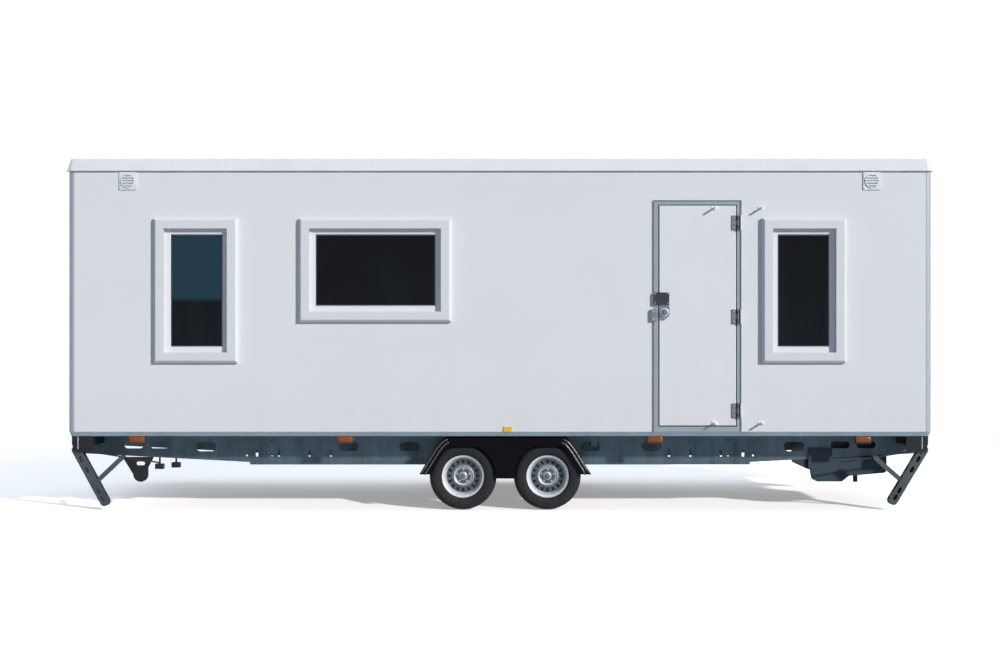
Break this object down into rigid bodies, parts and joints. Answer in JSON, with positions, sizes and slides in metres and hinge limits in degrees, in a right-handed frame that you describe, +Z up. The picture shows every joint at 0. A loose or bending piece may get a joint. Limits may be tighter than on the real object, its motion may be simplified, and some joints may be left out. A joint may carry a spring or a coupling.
{
  "type": "mobile home",
  "caption": "Panel-built site caravan: a long flat-roofed cabin with door and windows on a tandem-axle trailer chassis with wheels and folding corner steadies.",
  "frame": {"origin": "ground level under the middle of the home's box", "axes": "+X along the home to the right as seen from the door side, -Y is the door side, +Z up"},
  "size_m": [8.076, 2.645, 3.3018],
  "materials": {
    "wall_panel": "smooth off-white sandwich panel",
    "roof_skin": "moulded off-white roof skin",
    "corner_trim": "coated aluminium section",
    "base_trim": "plain aluminium section",
    "window_plastic": "white window section",
    "glass": "dark insulating glass",
    "door_skin": "white coated sheet",
    "door_trim": "aluminium door section",
    "hinge_metal": "white coated hinge",
    "holder_plastic": "white buffer",
    "lock_dark": "dark lock case",
    "lock_metal": "worn steel",
    "vent_plastic": "white louvred vent",
    "floor_board": "coated plywood",
    "galvanised": "galvanised steel",
    "black_steel": "black coated steel",
    "guard_plastic": "black moulded plastic",
    "tank_plastic": "dark grey moulded plastic",
    "amber_lens": "amber lens",
    "rubber": "tyre rubber",
    "rim_paint": "silver rim",
    "bright_screw": "bright plated steel"
  },
  "bodies": {
    "root": {"axles": "black_steel", "back_wall": "wall_panel", "corner_trims": "corner_trim", "cross_members": "galvanised", "door_frame": "door_trim", "drain_stubs": "black_steel", "end_base_trims": "base_trim", "end_wall_left": "wall_panel", "end_wall_right": "wall_panel", "floor_panel": "floor_board", "frame_hinge_halves": "hinge_metal", "front_wall_left": "wall_panel", "front_wall_over_door": "wall_panel", "front_wall_right": "wall_panel", "hanging_bracket": "black_steel", "lock_keeper": "lock_metal", "long_base_trims": "base_trim", "marker_lamps": "amber_lens", "mudguards": "guard_plastic", "outriggers": "black_steel", "rail_back": "galvanised", "rail_centre": "galvanised", "rail_front": "galvanised", "roof_cap": "roof_skin", "roof_panel": "wall_panel", "steady_brackets": "galvanised", "steady_screws": "bright_screw", "tank": "tank_plastic", "vents": "vent_plastic", "wall_holders": "holder_plastic", "window_frames": "window_plastic", "window_glass": "glass", "window_sashes": "window_plastic"},
    "door": {"door_leaf": "door_skin", "door_hinge_halves": "hinge_metal", "door_holders": "holder_plastic", "lock_case": "lock_dark", "door_grip": "lock_metal"},
    "wheel_front_leading": {"tyre_front_leading": "rubber", "rim_front_leading": "rim_paint"},
    "wheel_front_trailing": {"tyre_front_trailing": "rubber", "rim_front_trailing": "rim_paint"},
    "wheel_back_leading": {"tyre_back_leading": "rubber", "rim_back_leading": "rim_paint"},
    "wheel_back_trailing": {"tyre_back_trailing": "rubber", "rim_back_trailing": "rim_paint"},
    "steady_leg_front_left": {"steady_leg_front_left": "galvanised"},
    "steady_strut_front_left": {"steady_strut_front_left": "galvanised"},
    "steady_nut_front_left": {"steady_nut_front_left": "bright_screw"},
    "steady_leg_front_right": {"steady_leg_front_right": "galvanised"},
    "steady_strut_front_right": {"steady_strut_front_right": "galvanised"},
    "steady_nut_front_right": {"steady_nut_front_right": "bright_screw"},
    "steady_leg_back_left": {"steady_leg_back_left": "galvanised"},
    "steady_strut_back_left": {"steady_strut_back_left": "galvanised"},
    "steady_nut_back_left": {"steady_nut_back_left": "bright_screw"},
    "steady_leg_back_right": {"steady_leg_back_right": "galvanised"},
    "steady_strut_back_right": {"steady_strut_back_right": "galvanised"},
    "steady_nut_back_right": {"steady_nut_back_right": "bright_screw"}
  },
  "joints": [
    {"name": "door_hinge", "type": "hinge", "parent": "root", "child": "door", "pos_m": [2.207, -1.2455, 0.794], "axis": [0, 0, 1], "range_deg": [0, 135]},
    {"name": "wheel_front_leading_spin", "type": "hinge", "parent": "root", "child": "wheel_front_leading", "pos_m": [-0.3465, -1.08, 0.315], "axis": [0, 1, 0], "continuous": true},
    {"name": "wheel_front_trailing_spin", "type": "hinge", "parent": "root", "child": "wheel_front_trailing", "pos_m": [0.4445, -1.08, 0.315], "axis": [0, 1, 0], "continuous": true},
    {"name": "wheel_back_leading_spin", "type": "hinge", "parent": "root", "child": "wheel_back_leading", "pos_m": [-0.3465, 1.125, 0.315], "axis": [0, 1, 0], "continuous": true},
    {"name": "wheel_back_trailing_spin", "type": "hinge", "parent": "root", "child": "wheel_back_trailing", "pos_m": [0.4445, 1.125, 0.315], "axis": [0, 1, 0], "continuous": true},
    {"name": "steady_leg_front_left_hinge", "type": "hinge", "parent": "root", "child": "steady_leg_front_left", "pos_m": [-3.955, -1.1435, 0.565], "axis": [0, 1, 0], "range_deg": [-47.5, 8.5]},
    {"name": "steady_strut_front_left_hinge", "type": "hinge", "parent": "steady_leg_front_left", "child": "steady_strut_front_left", "pos_m": [-3.78561, -1.1435, 0.25302], "axis": [0, 1, 0], "range_deg": [-17, 95]},
    {"name": "steady_nut_front_left_hinge", "type": "hinge", "parent": "steady_strut_front_left", "child": "steady_nut_front_left", "pos_m": [-3.5281, -1.1435, 0.49739], "axis": [0, 1, 0], "range_deg": [-47.5, 8.5]},
    {"name": "steady_leg_front_right_hinge", "type": "hinge", "parent": "root", "child": "steady_leg_front_right", "pos_m": [3.955, -1.1435, 0.565], "axis": [0, -1, 0], "range_deg": [-45, 11]},
    {"name": "steady_strut_front_right_hinge", "type": "hinge", "parent": "steady_leg_front_right", "child": "steady_strut_front_right", "pos_m": [3.77216, -1.1435, 0.26071], "axis": [0, -1, 0], "range_deg": [-22, 90]},
    {"name": "steady_nut_front_right_hinge", "type": "hinge", "parent": "steady_strut_front_right", "child": "steady_nut_front_right", "pos_m": [3.50424, -1.1435, 0.49361], "axis": [0, -1, 0], "range_deg": [-45, 11]},
    {"name": "steady_leg_back_left_hinge", "type": "hinge", "parent": "root", "child": "steady_leg_back_left", "pos_m": [-3.955, 1.1885, 0.565], "axis": [0, 1, 0], "range_deg": [-2, 54]},
    {"name": "steady_strut_back_left_hinge", "type": "hinge", "parent": "steady_leg_back_left", "child": "steady_strut_back_left", "pos_m": [-3.61375, 1.1885, 0.46715], "axis": [0, 1, 0], "range_deg": [-108, 4]},
    {"name": "steady_nut_back_left_hinge", "type": "hinge", "parent": "steady_strut_back_left", "child": "steady_nut_back_left", "pos_m": [-3.25897, 1.1885, 0.45476], "axis": [0, 1, 0], "range_deg": [-2, 54]},
    {"name": "steady_leg_back_right_hinge", "type": "hinge", "parent": "root", "child": "steady_leg_back_right", "pos_m": [3.955, 1.1885, 0.565], "axis": [0, -1, 0], "range_deg": [-2, 54]},
    {"name": "steady_strut_back_right_hinge", "type": "hinge", "parent": "steady_leg_back_right", "child": "steady_strut_back_right", "pos_m": [3.61375, 1.1885, 0.46715], "axis": [0, -1, 0], "range_deg": [-108, 4]},
    {"name": "steady_nut_back_right_hinge", "type": "hinge", "parent": "steady_strut_back_right", "child": "steady_nut_back_right", "pos_m": [3.25897, 1.1885, 0.45476], "axis": [0, -1, 0], "range_deg": [-2, 54]}
  ],
  "couplings": [
    {"joint": "steady_strut_front_left_hinge", "follows": "steady_leg_front_left_hinge", "ratio": -2},
    {"joint": "steady_nut_front_left_hinge", "follows": "steady_leg_front_left_hinge", "ratio": 1},
    {"joint": "steady_strut_front_right_hinge", "follows": "steady_leg_front_right_hinge", "ratio": -2},
    {"joint": "steady_nut_front_right_hinge", "follows": "steady_leg_front_right_hinge", "ratio": 1},
    {"joint": "steady_strut_back_left_hinge", "follows": "steady_leg_back_left_hinge", "ratio": -2},
    {"joint": "steady_nut_back_left_hinge", "follows": "steady_leg_back_left_hinge", "ratio": 1},
    {"joint": "steady_strut_back_right_hinge", "follows": "steady_leg_back_right_hinge", "ratio": -2},
    {"joint": "steady_nut_back_right_hinge", "follows": "steady_leg_back_right_hinge", "ratio": 1}
  ]
}
